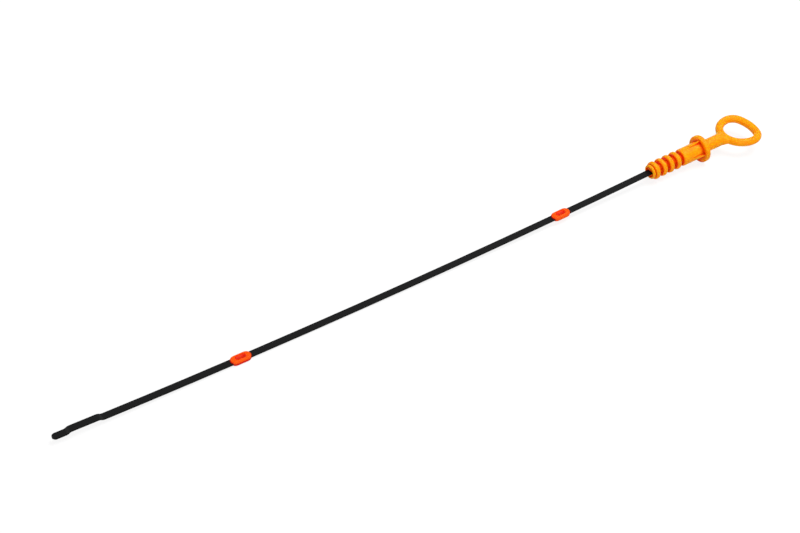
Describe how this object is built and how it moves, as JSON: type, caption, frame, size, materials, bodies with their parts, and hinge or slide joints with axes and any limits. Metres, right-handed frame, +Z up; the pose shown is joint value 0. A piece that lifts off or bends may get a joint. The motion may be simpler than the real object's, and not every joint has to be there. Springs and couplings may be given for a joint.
{
  "type": "engine oil dipstick",
  "caption": "Engine oil dipstick: long flat dark steel blade with a stepped gauge tip and moulded guide beads, and an orange ribbed plug handle with a seating flange and finger loop.",
  "frame": {"origin": "Centre of the bounding box's bottom face, on the table the object lies on.", "axes": "+X along the object from the blade's tip to the finger loop, +Y across it to the left seen from the tip, +Z up from the table, square to the loop but for the small tilt of the resting handle."},
  "size_m": [0.5496, 0.0352, 0.02],
  "materials": {
    "blade_steel": "satin black spring steel strip",
    "handle_plastic": "semi-matt moulded orange plastic",
    "bead_plastic": "semi-matt moulded red-orange plastic"
  },
  "bodies": {
    "root": {"blade": "blade_steel", "handle": "handle_plastic", "lower_bead": "bead_plastic", "upper_bead": "bead_plastic"}
  },
  "joints": []
}
